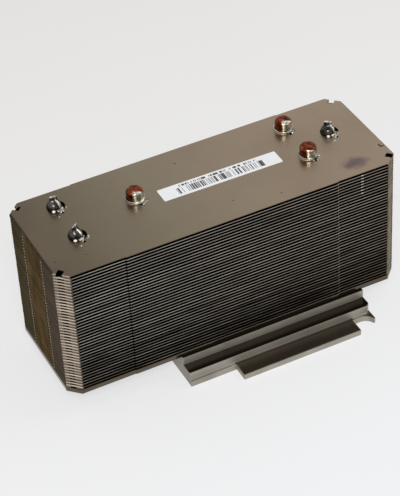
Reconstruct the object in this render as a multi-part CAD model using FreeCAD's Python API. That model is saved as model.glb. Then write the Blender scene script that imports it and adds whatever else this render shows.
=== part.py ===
import FreeCAD, Part
import math
import os

# Passive server CPU heatsink, in millimetres.
#
# Forty folded fins stand on a bottom plate. Three U-shaped heat pipes lie in grooves in a milled base block,
# turn up through the plate and carry the heat to the fins. Above the top fin each pipe ends in a pressed cap
# on one leg and in the crimped fill nipple on the other.
#
# Frame: origin at the centre of the block's underside, where it meets the processor. +Z is up, X runs along
# the fins and -Y is the front, the side of the clip horn. The fin stack overhangs the block mostly at -X.

# --- fin stack ---
stack_length = 160.8
stack_width = 56.1
stack_offset = -16.8            # middle of the stack from the middle of the block, along X
corner_cut = 5.25               # leg of the 45 degree cut at each corner
edge_step = 0.3                 # how far the middle of a long edge stands proud of its ends
edge_step_inset = 30.4          # from the end of the stack to that step
fin_count = 40                  # the top fin is the last of them
fin_pitch = 1.57
fin_sheet = 0.4
fin_rest_gap = 0.1              # from a folded flange down to the sheet below it
plate_thickness = 2.4

# --- folded end flanges ---
window_start = 2.0              # along a corner cut, from its short-end side
window_length = 2.8
split_inset = 18.3              # the two splits of the top fin's end flanges, from the long edges
split_width = 0.8

# --- cuts in the top fin ---
corner_slot_length = 2.8
corner_slot_reach = 3.0         # from the folded edge inwards
corner_slot_starts = {          # along the corner cut, from its short-end side: (at +X, at +Y) says which corner
    (False, False): 1.5,
    (True, False): 0.9,
    (True, True): 2.9,
    (False, True): 3.0,
}
hook_slot_width = 0.6           # L-shaped cut in the right end
hook_slot_reach = 2.8
hook_slot_rise = 2.3
hook_slot_inset = 12.3          # from the front edge to the foot of the L
relief_width = 1.2              # slot that leaves each pipe hole towards the front
relief_reach = 5.9              # from the pipe's axis to the end of the slot
relief_angle = -80.0            # degrees, seen from above, from +X

# --- heat pipes ---
pipe_diameter = 8.0
pipe_sides = 12                 # flats that the pipe has where it is out of sight
pipe_clearance = 0.1            # round the pipe, in its holes and in its groove
bend_radius = 16.0              # of the pipe's axis
bend_parts = 4                  # straight lengths that make up one bend
front_row = -5.05               # the three pipes, along Y from the middle of the stack
middle_row = 5.15
rear_row = 17.25
outer_nipple_inset = 19.1       # legs of the front and rear pipes, from the ends of the stack
outer_cap_inset = 32.4
middle_cap_inset = 50.4         # legs of the middle pipe, from the ends of the stack
middle_nipple_inset = 16.1
end_depth = 3.2                 # how far down into the stack the pipe's worked ends begin
cap_height = 4.8                # above the top fin
cap_rim = 0.9                   # bevel round the cap's top
nipple_height = 5.8             # above the top fin
nipple_neck_diameter = 6.6      # where the nipple passes the top fin
crimp_width = 3.4
crimp_thickness = 1.1
crimp_height = 1.8

# --- base block ---
base_length = 90.0
base_height = 11.2
block_width = 57.6              # upper block, under the plate
ledge_height = 7.2
body_width = 69.6               # lower body, between its upright faces
foot_width = 72.0               # lowest layer, proud of the lower body
foot_height = 3.1               # the lowest layer and all that grows out of it
cove_radius = 1.0               # between the lowest layer and the lower body
tongue_reach = 7.5              # beyond the foot
tongue_left_inset = 22.0        # from the ends of the block to the ends of a tongue
tongue_right_inset = 9.6
horn_reach = 3.6                # beyond the foot
horn_tip = 0.8
horn_flank_radius = 5.0
corner_chamfer = 1.4            # on the lower body's two right-hand upright edges

# --- label ---
label_length = 56.4
label_width = 8.45
label_thickness = 0.12
label_along = 8.3               # middle of the label from the middle of the stack
label_across = 0.65
label_turn = -0.65              # degrees

# --- worked out from the above ---
overcut = 1.0                   # how far a cutting tool runs past the face that it cuts
pipe_radius = pipe_diameter / 2
hole_radius = pipe_radius + pipe_clearance
pipe_level = base_height - hole_radius
bend_top = pipe_level + bend_radius
plate_top = base_height + plate_thickness
stack_top = plate_top + fin_count * fin_pitch
stack_left = stack_offset - stack_length / 2
stack_right = stack_offset + stack_length / 2
edge_y = stack_width / 2 - edge_step
flange_height = fin_pitch - fin_sheet - fin_rest_gap

# Each pipe: its row, then the places of its nipple leg and its cap leg along X.
pipes = {
    "front": (front_row, stack_left + outer_nipple_inset, stack_right - outer_cap_inset),
    "middle": (middle_row, stack_right - middle_nipple_inset, stack_left + middle_cap_inset),
    "rear": (rear_row, stack_left + outer_nipple_inset, stack_right - outer_cap_inset),
}


def vector(x, y, z=0.0):
    return FreeCAD.Vector(x, y, z)


def prism(points, bottom, top):
    """Upright solid over a closed outline of (x, y) points."""
    corners = [vector(x, y, bottom) for x, y in points]
    face = Part.Face(Part.makePolygon(corners + corners[:1]))
    return face.extrude(vector(0, 0, top - bottom))


def block(x_range, y_range, z_range):
    """Box between two places along each axis."""
    low, high = zip(x_range, y_range, z_range)
    size = [b - a for a, b in zip(low, high)]
    return Part.makeBox(*size, FreeCAD.Vector(*low))


def joined(shapes):
    return shapes[0].fuse(shapes[1:]).removeSplitter()


def mirrored(shape, along_x=False, along_y=False):
    """Copy of a shape, mirrored in the middle of the stack along X, along Y or both."""
    copy = shape.copy()
    if along_x:
        copy = copy.mirror(vector(stack_offset, 0), vector(1, 0))
    if along_y:
        copy = copy.mirror(vector(0, 0), vector(0, 1))
    return copy


# --- fins and plate ---

def stepped_outline():
    """Plan of the plate and the top fin: a rectangle with cut corners and slightly proud long edges."""
    half_length = stack_length / 2
    step = half_length - edge_step_inset
    quarter = [
        (half_length, edge_y - corner_cut),
        (half_length - corner_cut, edge_y),
        (step, edge_y),
        (step, edge_y + edge_step),
    ]
    half = quarter + [(-x, y) for x, y in reversed(quarter)]
    whole = half + [(-x, -y) for x, y in half]
    return [(stack_offset + x, y) for x, y in whole]


def plain_outline():
    """Plan of a fin inside the stack, without the small step in its long edges."""
    half_length = stack_length / 2
    half = [
        (half_length, edge_y - corner_cut),
        (half_length - corner_cut, edge_y),
        (corner_cut - half_length, edge_y),
        (-half_length, edge_y - corner_cut),
    ]
    whole = half + [(-x, -y) for x, y in half]
    return [(stack_offset + x, y) for x, y in whole]


def corner_box(start, length, reach, bottom, top):
    """Box across the fold of the front left corner cut; start and length run from the short end."""
    box = Part.makeBox(length, reach + overcut, top - bottom, vector(start, -overcut, bottom))
    box.rotate(vector(0, 0), vector(0, 0, 1), -45)
    box.translate(vector(stack_left, corner_cut - edge_y))
    return box


def left_flange():
    """Flange folded down round the left end and its two corner cuts, with a window in each cut."""
    mitre = fin_sheet * (math.sqrt(2) - 1)
    outer = [
        (stack_left + corner_cut, -edge_y),
        (stack_left, corner_cut - edge_y),
        (stack_left, edge_y - corner_cut),
        (stack_left + corner_cut, edge_y),
    ]
    inner = [
        (stack_left + corner_cut + fin_sheet * math.sqrt(2), edge_y),
        (stack_left + fin_sheet, edge_y - corner_cut - mitre),
        (stack_left + fin_sheet, corner_cut + mitre - edge_y),
        (stack_left + corner_cut + fin_sheet * math.sqrt(2), -edge_y),
    ]
    flange = prism(outer + inner, -fin_sheet - flange_height, -fin_sheet)
    window = corner_box(
        window_start, window_length, fin_sheet + overcut, -fin_sheet - flange_height - overcut, -fin_sheet)
    return flange.cut([window, mirrored(window, along_y=True)])


def folded_fin(outline):
    """Sheet with its folded ends; its upper face is at zero height."""
    sheet = prism(outline, -fin_sheet, 0)
    flange = left_flange()
    return joined([sheet, flange, mirrored(flange, along_x=True)])


def lean(height):
    """How much further a leg's flank reaches towards the run at this height, where the pipe still bends."""
    drop = bend_top - height
    if drop <= 0:
        return 0.0
    inside = bend_radius * math.cos(math.pi / 4 / bend_parts) - pipe_radius
    flank = math.sqrt(max(inside**2 - drop**2, 0.0))
    return bend_radius - pipe_radius - flank


def leg_openings(height, bottom, top):
    """Six-sided openings round the six pipe legs, long enough for the bends at the given height."""
    point = hole_radius / math.cos(math.pi / 6)
    openings = []
    for row, nipple_x, cap_x in pipes.values():
        for leg_x, other_x in ((nipple_x, cap_x), (cap_x, nipple_x)):
            end_x = leg_x + math.copysign(lean(height), other_x - leg_x)
            left, right = sorted((leg_x, end_x))
            outline = [
                (right + point, row),
                (right + point / 2, row + hole_radius),
                (left - point / 2, row + hole_radius),
                (left - point, row),
                (left - point / 2, row - hole_radius),
                (right + point / 2, row - hole_radius),
            ]
            openings.append(prism(outline, bottom, top))
    return openings


def inner_fin(blank, level):
    """One fin of the stack; level is the height of its upper face."""
    fin = blank.copy()
    fin.translate(vector(0, 0, level))
    return fin.cut(leg_openings(level - fin_sheet, level - fin_sheet - overcut, level + overcut))


def bottom_plate():
    plate = prism(stepped_outline(), base_height, plate_top)
    return plate.cut(leg_openings(base_height, base_height - overcut, plate_top + overcut))


def pipe_hole(x, y):
    """Round hole with a short relief slot towards the front, through the sheet at zero height."""
    depth = fin_sheet + 2 * overcut
    hole = Part.makeCylinder(hole_radius, depth, vector(x, y, -fin_sheet - overcut))
    relief = Part.makeBox(relief_reach, relief_width, depth, vector(0, -relief_width / 2))
    relief.rotate(vector(0, 0), vector(0, 0, 1), relief_angle)
    relief.translate(vector(x, y, -fin_sheet - overcut))
    return hole.fuse(relief)


def hook_slot():
    """L-shaped cut that runs in from the right end of the top fin and turns to the rear."""
    z_range = (-fin_sheet - flange_height - overcut, overcut)
    middle = -stack_width / 2 + hook_slot_inset
    low = middle - hook_slot_width / 2
    inner = stack_right - hook_slot_reach
    foot = block((inner, stack_right + overcut), (low, low + hook_slot_width), z_range)
    upright = block((inner, inner + hook_slot_width), (low, low + hook_slot_rise), z_range)
    return foot.fuse(upright)


def flange_splits():
    """Cuts that part each end flange of the top fin into three."""
    z_range = (-fin_sheet - flange_height - overcut, overcut)
    middle = stack_width / 2 - split_inset
    y_range = (middle - split_width / 2, middle + split_width / 2)
    cut = block((stack_left - overcut, stack_left + split_width), y_range, z_range)
    return [mirrored(cut, right, front) for right in (False, True) for front in (False, True)]


def top_fin(blank):
    cuts = [hook_slot()] + flange_splits()
    for (right, rear), start in corner_slot_starts.items():
        slot = corner_box(
            start, corner_slot_length, corner_slot_reach, -fin_sheet - flange_height - overcut, overcut)
        cuts.append(mirrored(slot, right, rear))
    for row, nipple_x, cap_x in pipes.values():
        cuts.append(pipe_hole(nipple_x, row))
        cuts.append(pipe_hole(cap_x, row))
    fin = blank.cut(cuts)
    fin.translate(vector(0, 0, stack_top))
    return fin


# --- heat pipes ---

def pipe_path(row, nipple_x, cap_x, top):
    """Axis of a U-shaped pipe, down the nipple leg, along the run and up the cap leg."""
    def bend(leg_x, other_x):
        inwards = math.copysign(bend_radius, other_x - leg_x)
        angles = [math.pi / 2 * part / bend_parts for part in range(bend_parts + 1)]
        return [
            vector(leg_x + inwards * (1 - math.cos(a)), row, bend_top - bend_radius * math.sin(a))
            for a in angles
        ]
    down = [vector(nipple_x, row, top)] + bend(nipple_x, cap_x)
    up = [vector(cap_x, row, top)] + bend(cap_x, nipple_x)
    return Part.makePolygon(down + up[::-1])


def pipe_section(x, y, z, radius=pipe_radius):
    """Many-sided section across an upright leg."""
    turns = [2 * math.pi * (side + 0.5) / pipe_sides for side in range(pipe_sides)]
    corners = [vector(x + radius * math.cos(t), y + radius * math.sin(t), z) for t in turns]
    return Part.makePolygon(corners + corners[:1])


def cap_end(x, y, bottom):
    """Pressed cap with a broken rim."""
    top = stack_top + cap_height
    cap = Part.makeCylinder(pipe_radius, top - bottom, vector(x, y, bottom))
    rim = [edge for edge in cap.Edges if edge.Closed and edge.BoundBox.ZMin > stack_top]
    return cap.makeChamfer(cap_rim, rim)


def nipple_end(x, y, bottom):
    """Fill nipple: necked below the top fin, drawn in above it and pressed to a flat blade at the tip."""
    neck = nipple_neck_diameter / 2
    tip = stack_top + nipple_height
    blade = tip - crimp_height
    levels = [(bottom, pipe_radius), (stack_top, neck), (blade, crimp_width / 2), (tip, crimp_width / 2)]
    drawn = Part.makeLoft([pipe_section(x, y, z, radius) for z, radius in levels], True, True)
    sides = [(bottom, pipe_radius), (stack_top, neck), (blade, crimp_thickness / 2), (tip, crimp_thickness / 2)]
    corners = [vector(x - pipe_radius, y + half, z) for z, half in sides]
    corners += [vector(x - pipe_radius, y - half, z) for z, half in reversed(sides)]
    press = Part.Face(Part.makePolygon(corners + corners[:1])).extrude(vector(pipe_diameter, 0))
    return drawn.common(press)


def heat_pipe(row, nipple_x, cap_x):
    bottom = stack_top - end_depth
    path = pipe_path(row, nipple_x, cap_x, bottom)
    tube = path.makePipeShell([pipe_section(nipple_x, row, bottom)], True, True, 1)
    return joined([tube, nipple_end(nipple_x, row, bottom), cap_end(cap_x, row, bottom)])


# --- base block ---

def base_section():
    """Cross-section of the block: foot, cove, lower body, ledge and upper block, the same front and rear."""
    foot = foot_width / 2
    body = body_width / 2
    block_half = block_width / 2
    centre_y = body + cove_radius
    centre_z = foot_height + cove_radius
    diagonal = cove_radius * math.sqrt(0.5)
    x = -base_length / 2

    def side(sign):
        corners = [
            vector(x, sign * foot, 0),
            vector(x, sign * foot, foot_height),
            vector(x, sign * centre_y, foot_height),
            vector(x, sign * body, centre_z),
            vector(x, sign * body, ledge_height),
            vector(x, sign * block_half, ledge_height),
            vector(x, sign * block_half, base_height),
        ]
        hollow = vector(x, sign * (centre_y - diagonal), centre_z - diagonal)
        edges = [Part.makeLine(a, b) for a, b in zip(corners, corners[1:])]
        edges[2] = Part.Arc(corners[2], hollow, corners[3]).toShape()
        return corners, edges

    front_corners, front_edges = side(-1)
    rear_corners, rear_edges = side(1)
    top = Part.makeLine(front_corners[-1], rear_corners[-1])
    bottom = Part.makeLine(rear_corners[0], front_corners[0])
    wire = Part.Wire(Part.__sortEdges__(front_edges + [top] + rear_edges + [bottom]))
    return Part.Face(wire)


def tongue():
    """Flat tongue that the hold-down clip presses on, at the rear of the foot."""
    x_range = (tongue_left_inset - base_length / 2, base_length / 2 - tongue_right_inset)
    y_range = (body_width / 2, foot_width / 2 + tongue_reach)
    return block(x_range, y_range, (0, foot_height))


def horn():
    """Small horn at the front right corner of the foot, with a hollow flank."""
    right = base_length / 2
    face = -foot_width / 2
    tip_left = right - horn_tip
    tip_y = face - horn_reach
    run = math.sqrt(2 * horn_flank_radius * horn_reach - horn_reach**2)
    centre = vector(tip_left - run, face - horn_flank_radius)
    half_turn = math.atan2(run, horn_flank_radius - horn_reach) / 2
    middle = centre + vector(math.sin(half_turn), math.cos(half_turn)) * horn_flank_radius
    start = vector(tip_left - run, face)
    tip = vector(tip_left, tip_y)
    corners = [tip, vector(right, tip_y), vector(right, -body_width / 2), vector(start.x, -body_width / 2), start]
    edges = [Part.Arc(start, middle, tip).toShape()]
    edges += [Part.makeLine(a, b) for a, b in zip(corners, corners[1:])]
    return Part.Face(Part.Wire(edges)).extrude(vector(0, 0, foot_height))


def groove(row, nipple_x, cap_x):
    """Groove for a pipe, open upwards, as long as the pipe is below the top of the block."""
    reach = math.sqrt((bend_radius + hole_radius)**2 - (bend_top - base_height)**2)
    left = min(nipple_x, cap_x) + bend_radius - reach
    right = max(nipple_x, cap_x) - bend_radius + reach
    floor = Part.makeCylinder(hole_radius, right - left, vector(left, row, pipe_level), vector(1, 0))
    y_range = (row - hole_radius, row + hole_radius)
    walls = block((left, right), y_range, (pipe_level, base_height + overcut))
    return floor.fuse(walls)


def base_block():
    body = base_section().extrude(vector(base_length, 0))
    solid = joined([body, tongue(), tongue().mirror(vector(0, 0), vector(0, 1)), horn()])
    right = base_length / 2
    half = body_width / 2
    bevel = prism(
        [(right + overcut, half - corner_chamfer - overcut), (right + overcut, half + overcut),
         (right - corner_chamfer - overcut, half + overcut)], foot_height, ledge_height + overcut)
    grooves = [groove(*pipe) for pipe in pipes.values()]
    return solid.cut([bevel, bevel.mirror(vector(0, 0), vector(0, 1))] + grooves)


# --- label ---

def label():
    sheet = Part.makeBox(label_length, label_width, label_thickness, vector(-label_length / 2, -label_width / 2))
    sheet.rotate(vector(0, 0), vector(0, 0, 1), label_turn)
    sheet.translate(vector(stack_offset + label_along, label_across, stack_top))
    return sheet


def save(name, shape):
    shape.exportStep(os.path.join("parts", name + ".step"))


os.makedirs("parts", exist_ok=True)

inner_blank = folded_fin(plain_outline())
for number in range(1, fin_count):
    save(f"fin_{number:02d}", inner_fin(inner_blank, plate_top + number * fin_pitch))
save("top_fin", top_fin(folded_fin(stepped_outline())))
save("bottom_plate", bottom_plate())
save("base_block", base_block())
for name, place in pipes.items():
    save(f"heat_pipe_{name}", heat_pipe(*place))
save("label", label())
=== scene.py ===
# %% [markdown]
# # A passive server heatsink
#
# This lesson dresses a heatsink whose solids were made in CAD. The real thing is a pile of thin stamped fins,
# three bent copper heat pipes that carry heat up through them, and a milled block that sits on the processor.
# Each cell makes one piece or one finish, and the text above it says why it is made that way.

# %% Load the frame
import math
import random

import bmesh
import bpy
from mathutils import Matrix, Vector, noise
from mathutils.geometry import delaunay_2d_cdt


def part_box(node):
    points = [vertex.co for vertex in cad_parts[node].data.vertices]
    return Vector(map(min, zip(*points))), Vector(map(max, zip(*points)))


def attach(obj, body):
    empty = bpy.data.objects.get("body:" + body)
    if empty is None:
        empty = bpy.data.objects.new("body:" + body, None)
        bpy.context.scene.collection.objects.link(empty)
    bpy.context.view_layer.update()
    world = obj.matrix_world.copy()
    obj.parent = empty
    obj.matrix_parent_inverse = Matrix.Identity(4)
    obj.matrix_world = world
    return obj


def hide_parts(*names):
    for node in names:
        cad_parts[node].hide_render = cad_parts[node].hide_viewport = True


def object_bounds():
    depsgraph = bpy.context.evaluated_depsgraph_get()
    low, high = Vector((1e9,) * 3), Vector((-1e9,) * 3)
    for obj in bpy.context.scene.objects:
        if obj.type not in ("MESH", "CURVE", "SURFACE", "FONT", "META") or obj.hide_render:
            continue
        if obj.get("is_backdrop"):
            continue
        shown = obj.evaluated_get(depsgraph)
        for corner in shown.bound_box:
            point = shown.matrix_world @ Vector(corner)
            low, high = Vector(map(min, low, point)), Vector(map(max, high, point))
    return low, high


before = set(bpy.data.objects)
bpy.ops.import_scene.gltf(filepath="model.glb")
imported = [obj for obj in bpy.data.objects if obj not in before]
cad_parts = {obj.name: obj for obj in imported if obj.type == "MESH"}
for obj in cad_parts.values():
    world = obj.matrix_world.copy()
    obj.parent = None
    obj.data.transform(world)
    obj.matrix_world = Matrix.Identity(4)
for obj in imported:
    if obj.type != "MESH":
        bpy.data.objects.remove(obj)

CAD_BOX = [list(corner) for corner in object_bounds()]
MM = 0.001
print("CAD box in mm:", [[round(v / MM, 2) for v in corner] for corner in CAD_BOX])

# %% [markdown]
# ## Sizes
#
# Blender works in metres here, so sizes are written in millimetres times `MM`. Whatever the frame already
# knows, such as where the stack ends or how far apart two fins lie, is read from it, so that the pieces fit the
# solids by themselves.

# %% Places read from the frame
TOP_LOW, TOP_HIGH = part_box("top_fin")
FIN_LOW, FIN_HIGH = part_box("fin_01")
LABEL_LOW, LABEL_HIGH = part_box("label")
INNER_FINS = sorted(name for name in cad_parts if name.startswith("fin_"))
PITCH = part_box("fin_02")[1].z - FIN_HIGH.z
STACK_TOP = TOP_HIGH.z
BASE_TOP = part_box("base_block")[1].z
LEFT, RIGHT = TOP_LOW.x, TOP_HIGH.x
MIDDLE_X = (LEFT + RIGHT) / 2
HALF_LENGTH = (RIGHT - LEFT) / 2
EDGE_Y = FIN_HIGH.y
print(len(INNER_FINS), "inner fins, pitch", round(PITCH / MM, 2), "mm")

# %% Sizes of the folded sheet and of the pipes
SHEET = 0.4 * MM
FOLD_RADIUS = 0.55 * MM
CORNER_CUT = 5.25 * MM
EDGE_STEP = TOP_HIGH.y - EDGE_Y
EDGE_STEP_INSET = 30.4 * MM
WINDOW = (2.0 * MM, 4.8 * MM)  # along a corner cut, from its short-end side
SPLIT_Y = TOP_HIGH.y - 18.3 * MM
SPLIT_WIDTH = 0.7 * MM

PIPE_RADIUS = 4.0 * MM
HOLE_RADIUS = 4.1 * MM
BEND_RADIUS = 16.0 * MM
PIPE_LEVEL = BASE_TOP - HOLE_RADIUS
END_DEPTH = 3.2 * MM
RELIEF_ANGLE = math.radians(-80)
PIPES = {  # where the nipple and the cap of each stand on the top fin
    pipe: [Vector((x, row * MM, STACK_TOP)) for x in ends] for pipe, row, *ends in (
        ("front", -5.05, LEFT + 19.1 * MM, RIGHT - 32.4 * MM),
        ("middle", 5.15, RIGHT - 16.1 * MM, LEFT + 50.4 * MM),
        ("rear", 17.25, LEFT + 19.1 * MM, RIGHT - 32.4 * MM))}

# %% [markdown]
# ## Small helpers
#
# A node tree in Python is mostly "make a node, set it, plug things into it". One function, `add`, does all of
# that, for materials and for Geometry Nodes alike, and each tree gets its own. In a shader tree `add("Math")`
# makes a ShaderNodeMath, and in the other kind `add("MeshLine")` makes a GeometryNodeMeshLine. Colours are
# written as hex values and turned into the linear light of the renderer.

# %% Colours and nodes
def colour(code):
    """Linear RGBA of an sRGB hex colour."""
    channels = [int(code[i:i + 2], 16) / 255 for i in (1, 3, 5)]
    linear = [c / 12.92 if c <= 0.04045 else ((c + 0.055) / 1.055) ** 2.4 for c in channels]
    return (*linear, 1.0)


def plug(node, inputs):
    """Fill inputs of a node with values, hex colours, sockets, or nodes to plug in.

    A list fills the first inputs in their order, and a dict fills inputs by name or number.
    """
    for key, value in inputs.items() if isinstance(inputs, dict) else enumerate(inputs):
        if isinstance(value, str) and value.startswith("#"):
            value = colour(value)
        if isinstance(value, bpy.types.Node):
            value = next(socket for socket in value.outputs if socket.enabled)
        if isinstance(value, bpy.types.NodeSocket):
            node.id_data.links.new(value, node.inputs[key])
        else:
            node.inputs[key].default_value = value


def adder(tree, family):
    """Return the function that adds nodes to a tree. A kind named without "Node" is one of the family."""
    def add(kind, inputs=(), **settings):
        made = tree.nodes.new(kind if "Node" in kind else family + kind)
        for name, value in settings.items():
            setattr(made, name, value)
        plug(made, inputs)
        return made
    return add


def shader_adder(owner):
    """Clear the nodes of a material or a world, and return the function that adds shader nodes to it."""
    owner.use_nodes = True
    owner.node_tree.nodes.clear()
    return adder(owner.node_tree, "ShaderNode")


# %% [markdown]
# Geometry Nodes work as a modifier on some object. Here each tree gets named inputs for its sizes, is run once,
# and its result is kept as a plain mesh, which any exporter can read. Two of the trees put copies on points that
# were moved a little at random, and all of them end in the same way, so both of these are functions too.

# %% Geometry Nodes
def geometry_tree(name, sockets):
    """Empty Geometry Nodes tree with named inputs; returns it, its adder and the input sockets."""
    tree = bpy.data.node_groups.new(name, "GeometryNodeTree")
    tree.interface.new_socket("Geometry", in_out="OUTPUT", socket_type="NodeSocketGeometry")
    for socket_name, kind in sockets.items():
        tree.interface.new_socket(socket_name, in_out="INPUT", socket_type="NodeSocket" + kind)
    add = adder(tree, "GeometryNode")
    return tree, add, add("NodeGroupInput").outputs


def strewn(add, given, points, play):
    """Points moved at random by at most the input called play, either way."""
    least = add("ShaderNodeVectorMath", {0: given[play], "Scale": -1.0}, operation="SCALE")
    shift = add("FunctionNodeRandomValue", {
        "Min": least, "Max": given[play], "Seed": given["Seed"]}, data_type="FLOAT_VECTOR")
    return add("SetPosition", {"Geometry": points, "Offset": shift})


def end_tree(add, given, geometry):
    """Turn copies into real geometry, give it its metal, and end the tree."""
    real = add("RealizeInstances", {"Geometry": geometry})
    painted = add("SetMaterial", {"Geometry": real, "Material": given["Metal"]})
    add("NodeGroupOutput", {"Geometry": painted})


def grow(source, tree, values):
    """Run a tree on an object with the given input values, and return the result as a plain mesh."""
    modifier = source.modifiers.new("grow", "NODES")
    modifier.node_group = tree
    for item in tree.interface.items_tree:
        if item.in_out == "INPUT" and item.name in values:
            modifier[item.identifier] = values[item.name]
    evaluated = source.evaluated_get(bpy.context.evaluated_depsgraph_get())
    mesh = bpy.data.meshes.new_from_object(evaluated)
    source.modifiers.remove(modifier)
    return mesh


# %% Meshes and finished pieces
def new_object(name, data):
    made = bpy.data.objects.new(name, data)
    bpy.context.scene.collection.objects.link(made)
    return made


def edited_object(name, edit):
    mesh = bpy.data.meshes.new(name)
    edit.to_mesh(mesh)
    edit.free()
    return new_object(name, mesh)


def shell_object(name, shells):
    """Object of several closed shells of (vertices, faces), with every face turned outwards."""
    edit = bmesh.new()
    for vertices, faces in shells:
        made = [edit.verts.new(v) for v in vertices]
        for face in faces:
            edit.faces.new([made[i] for i in face])
    bmesh.ops.recalc_face_normals(edit, faces=edit.faces)
    return edited_object(name, edit)


def around(angle, radius=1.0, up=0.0):
    """Vector to a point at an angle round an upright axis."""
    return Vector((radius * math.cos(angle), radius * math.sin(angle), up))


def tube_faces(ring, count, whole=False):
    """Faces between rings of vertices, with flat ends, or, if whole, from the last ring on to the first."""
    faces = [] if whole else [tuple(range(ring)), tuple(range(count - ring, count))]
    for start in range(0, count if whole else count - ring, ring):
        for i in range(ring):
            a, b = start + i, start + (i + 1) % ring
            faces.append(tuple(v % count for v in (a, a + ring, b + ring, b)))
    return faces


def finish_piece(piece, material, slot, replaced=(), smooth_angle=35):
    """Give a piece its material, shade it, and hang it on the frame in place of the CAD nodes."""
    piece.data.materials.clear()
    piece.data.materials.append(material)
    for polygon in piece.data.polygons:
        polygon.use_smooth = True
        polygon.material_index = 0
    piece.data.set_sharp_from_angle(angle=math.radians(smooth_angle))
    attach(piece, "root")
    if replaced:
        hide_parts(*replaced)
    triangles = sum(len(p.vertices) - 2 for p in piece.data.polygons)
    print(f"{piece.name}: {triangles} triangles")


# %% [markdown]
# ## The finishes
#
# Almost everything here is bare metal, which tints what it reflects. So each metal is fully metallic, its base
# colour is the tint, its roughness says how blurred the room looks in it, and tarnish and handling marks vary
# both.

# %% A new metal
def new_metal(name):
    """Material with a fully metallic surface; returns it, its adder, the shader and the Object coordinates."""
    material = bpy.data.materials.new(name)
    add = shader_adder(material)
    shader = add("BsdfPrincipled", {"Metallic": 1.0})
    add("OutputMaterial", {"Surface": shader})
    return material, add, shader, add("TexCoord").outputs["Object"]


# %% [markdown]
# ### Satin plated sheet
#
# The top fin is rolled sheet with a thin nickel plating that has gone warm and brownish with heat, and its very
# lip at the left end is nearly black. Its colour is also painted darker towards the left end and lighter towards
# the right, a painted reflection of a room that is darker on the left. It is smooth enough to show blurred
# reflections of the pipe ends.
# Rolling leaves very fine lines along the sheet, handling leaves faint clouds, and one grey smudge and a few
# specks have stayed on it. Each of these is a mask, and a loop lays their colours over one another.

# %% Satin plated sheet
SMUDGE_PLACE = (45.6 * MM, -20.3 * MM, STACK_TOP)
SMUDGE_REACH = (8 * MM, 5 * MM, MM)


def satin_sheet():
    material, add, shader, place = new_metal("satin_nickel_plated_sheet")
    x = add("SeparateXYZ", [place]).outputs["X"]
    # Painted reflection: the ramp makes the sheet darker at the left end and lighter at the right
    along = add("MapRange", {"Value": x, "From Min": LEFT, "From Max": RIGHT})
    base = add("ValToRGB", {"Fac": along})
    stops = base.color_ramp.elements
    stops[0].color, stops[1].color = colour("#5a5143"), colour("#92816f")
    stops.new(0.35).color = colour("#7d7362")
    stops.new(0.6).color = colour("#8a7b6a")

    clouds = add("TexNoise", {"Vector": place, "Scale": 1 / (30 * MM), "Detail": 3.0})
    cloudy = add("MapRange", {"Value": clouds, "From Min": 0.4, "From Max": 0.7, "To Max": 0.3})
    ragged = add("TexNoise", {"Vector": place, "Scale": 1 / (3 * MM), "Detail": 4.0})
    centred = add("Mapping", {
        "Vector": place, "Location": SMUDGE_PLACE, "Scale": SMUDGE_REACH}, vector_type="TEXTURE")
    far = add("VectorMath", [centred], operation="LENGTH").outputs["Value"]
    far = add("Math", [far, ragged], operation="ADD")
    smudge = add("MapRange", {
        "Value": far, "From Min": 1.6, "From Max": 0.7, "To Max": 0.85}, interpolation_type="SMOOTHSTEP")
    dust = add("TexVoronoi", {"Vector": place, "Scale": 1 / (9 * MM)}).outputs["Distance"]
    speck = add("MapRange", {"Value": dust, "From Min": 0.045, "From Max": 0.03})
    end_lip = add("MapRange", {
        "Value": x, "From Min": LEFT + 1.0 * MM, "From Max": LEFT + 0.4 * MM, "To Max": 0.85})
    for mask, tint in ((cloudy, "#766a5a"), (smudge, "#5d5053"), (speck, "#2c2620"), (end_lip, "#2e281f")):
        base = add("Mix", {0: mask, 6: base, 7: tint}, data_type="RGBA")

    rolled = add("Mapping", {"Vector": place, "Scale": (60, 1 / (0.5 * MM), 1 / (0.5 * MM))})
    lines = add("TexNoise", {"Vector": rolled, "Scale": 1.0, "Detail": 2.0})
    bump = add("Bump", {"Height": lines, "Strength": 0.15, "Distance": 0.01 * MM})
    rough = add("MapRange", {"Value": clouds, "From Min": 0.3, "From Max": 0.7, "To Min": 0.22, "To Max": 0.34})
    plug(shader, {"Base Color": base, "Roughness": rough, "Normal": bump})
    return material


# %% [markdown]
# ### Tarnished fins, with painted light and shade
#
# The inner fins are the same sheet, seen on its cut edges and on its folded ends. Each fin was stamped and
# handled by itself, so each has its own tone, which the fin stack hands over as an attribute called `tone`. The
# end flanges are coloured darker: greenish at the rear, mottled bronze in the middle and nearly black in
# front. The folds in the corner cuts carry a painted highlight where they face up, and the stubs at the splits
# carry a painted glint. The cut edges are painted lighter at the left end and darker at the right and towards
# the bottom, a painted shade, and random dust dims them too. The long edges have a small step near each end,
# which is painted as a light line at the right and as a line of painted shade at the left. The flats inside the
# stack are painted almost black, a painted shade that makes the gaps look deep, and a lighter brown in the
# corner cuts. Sheet seen at a glancing angle would mirror the table in plain white, so its specular tint is set
# warm and darker.

# %% Tarnished fins, with painted light and shade
NICK_X, NICKED_FINS = 45.0 * MM, 7.5  # where the uppermost fins were knocked, and how far down, in fins
STEP_REACH = 0.22 * MM


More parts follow.
